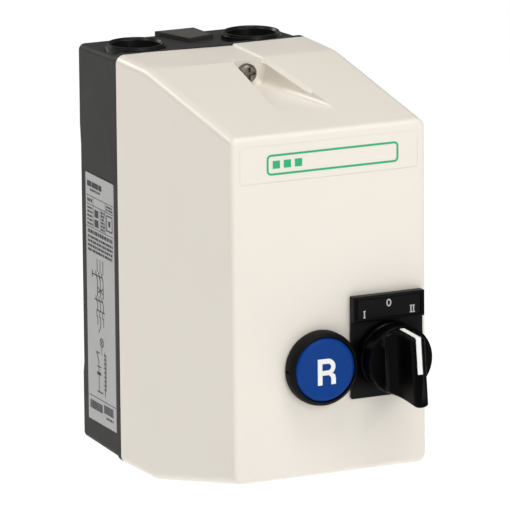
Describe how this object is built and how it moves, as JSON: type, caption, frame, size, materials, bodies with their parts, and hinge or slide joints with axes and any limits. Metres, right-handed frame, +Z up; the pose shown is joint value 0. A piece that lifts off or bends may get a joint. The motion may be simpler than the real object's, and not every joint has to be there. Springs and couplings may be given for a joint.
{
  "type": "enclosed motor starter",
  "caption": "Wall-mounted motor starter box: charcoal base, cream cover with sloped top, blue reset button and three-position rotary selector.",
  "frame": {"origin": "centre of the rear mounting face, on the wall plane", "axes": "+Z up, +Y into the wall, so the front and its controls face -Y; +X to the right seen from the front"},
  "size_m": [0.083, 0.1742, 0.1644],
  "materials": {
    "charcoal_case": "fine moulded texture, satin",
    "rubber_seal": "smooth moulded rubber",
    "printed_label": "printed film",
    "brass_fittings": "machined",
    "zinc_steel": "zinc plated",
    "charcoal_switchgear": "fine moulded texture",
    "copper": "bare copper, slightly dulled",
    "light_grey_plastic": "moulded",
    "cream_case": "satin with very fine texture",
    "black_controls": "semi-gloss",
    "blue_button": "satin",
    "white_plastic": "moulded"
  },
  "bodies": {
    "base": {"rear_base": "charcoal_case", "cover_gasket": "rubber_seal", "entry_plug_top_left": "rubber_seal", "entry_plug_top_right": "rubber_seal", "entry_plug_bottom_left": "rubber_seal", "entry_plug_bottom_right": "rubber_seal", "side_label": "printed_label", "threaded_insert": "brass_fittings", "din_rail": "zinc_steel", "rail_screw_left": "zinc_steel", "rail_screw_right": "zinc_steel", "contactor_left_base": "charcoal_switchgear", "contactor_left_cap": "charcoal_switchgear", "contactor_left_core": "zinc_steel", "contactor_left_coil": "copper", "contactor_left_spring": "zinc_steel", "contactor_right_base": "charcoal_switchgear", "contactor_right_cap": "charcoal_switchgear", "contactor_right_core": "zinc_steel", "contactor_right_coil": "copper", "contactor_right_spring": "zinc_steel", "overload_relay_housing": "charcoal_switchgear", "overload_relay_spring": "zinc_steel", "power_link_1": "copper", "power_link_2": "copper", "power_link_3": "copper", "terminal_block": "light_grey_plastic", "terminal_screw_1": "zinc_steel", "terminal_screw_2": "zinc_steel", "terminal_screw_3": "zinc_steel", "terminal_screw_4": "zinc_steel", "earth_terminal": "brass_fittings", "earth_screw": "zinc_steel"},
    "cover": {"front_cover": "cream_case", "name_plate": "cream_case", "screw_retainer": "black_controls", "reset_bezel": "black_controls", "reset_nut": "black_controls", "reset_spring": "zinc_steel", "legend_holder": "black_controls", "legend_strip": "black_controls", "selector_bezel": "black_controls", "selector_collar": "zinc_steel", "contact_block_left": "black_controls", "contact_block_right": "black_controls", "contact_spring_left": "zinc_steel", "contact_spring_right": "zinc_steel"},
    "cover_screw": {"cover_screw": "zinc_steel"},
    "reset_button": {"reset_cap": "blue_button", "reset_rod": "white_plastic"},
    "selector": {"selector_knob": "black_controls", "knob_marker": "white_plastic", "selector_shaft": "white_plastic"},
    "plunger_left": {"contact_plunger_left": "white_plastic"},
    "plunger_right": {"contact_plunger_right": "white_plastic"},
    "armature_left": {"contactor_left_carrier": "light_grey_plastic"},
    "armature_right": {"contactor_right_carrier": "light_grey_plastic"},
    "relay_dial": {"overload_relay_dial": "white_plastic"},
    "relay_plunger": {"overload_relay_plunger": "blue_button"}
  },
  "joints": [
    {"name": "cover_removal", "type": "slide", "parent": "base", "child": "cover", "axis": [0, -1, 0], "range_m": [0, 0.1]},
    {"name": "cover_screw_turn", "type": "hinge", "parent": "cover", "child": "cover_screw", "pos_m": [0.0006, -0.069, 0.07585], "axis": [0, -1, 0], "continuous": true},
    {"name": "reset_press", "type": "slide", "parent": "cover", "child": "reset_button", "axis": [0, 1, 0], "range_m": [0, 0.0025], "stiffness_N_per_m": 600, "springref_m": -0.003, "deforming": ["reset_spring"]},
    {"name": "relay_reset", "type": "slide", "parent": "base", "child": "relay_plunger", "axis": [0, 1, 0], "range_m": [0, 0.0025], "stiffness_N_per_m": 200, "springref_m": -0.002, "deforming": ["overload_relay_spring"]},
    {"name": "selector_turn", "type": "hinge", "parent": "cover", "child": "selector", "pos_m": [0.02297, -0.1424, -0.02113], "axis": [0, -1, 0], "range_deg": [-45, 45]},
    {"name": "contact_left_press", "type": "slide", "parent": "cover", "child": "plunger_left", "axis": [0, 1, 0], "range_m": [0, 0.0025], "stiffness_N_per_m": 300, "springref_m": -0.002, "deforming": ["contact_spring_left"]},
    {"name": "contact_right_press", "type": "slide", "parent": "cover", "child": "plunger_right", "axis": [0, 1, 0], "range_m": [0, 0.0025], "stiffness_N_per_m": 300, "springref_m": -0.002, "deforming": ["contact_spring_right"]},
    {"name": "armature_left_pull", "type": "slide", "parent": "base", "child": "armature_left", "axis": [0, 1, 0], "range_m": [0, 0.003], "stiffness_N_per_m": 800, "springref_m": -0.004, "deforming": ["contactor_left_spring"]},
    {"name": "armature_right_pull", "type": "slide", "parent": "base", "child": "armature_right", "axis": [0, 1, 0], "range_m": [0, 0.003], "stiffness_N_per_m": 800, "springref_m": -0.004, "deforming": ["contactor_right_spring"]},
    {"name": "relay_dial_turn", "type": "hinge", "parent": "base", "child": "relay_dial", "pos_m": [-0.01677, -0.0715, -0.035], "axis": [0, -1, 0], "range_deg": [-120, 120]}
  ],
  "couplings": [
    {"joint": "relay_reset", "follows": "reset_press", "ratio": 1}
  ]
}
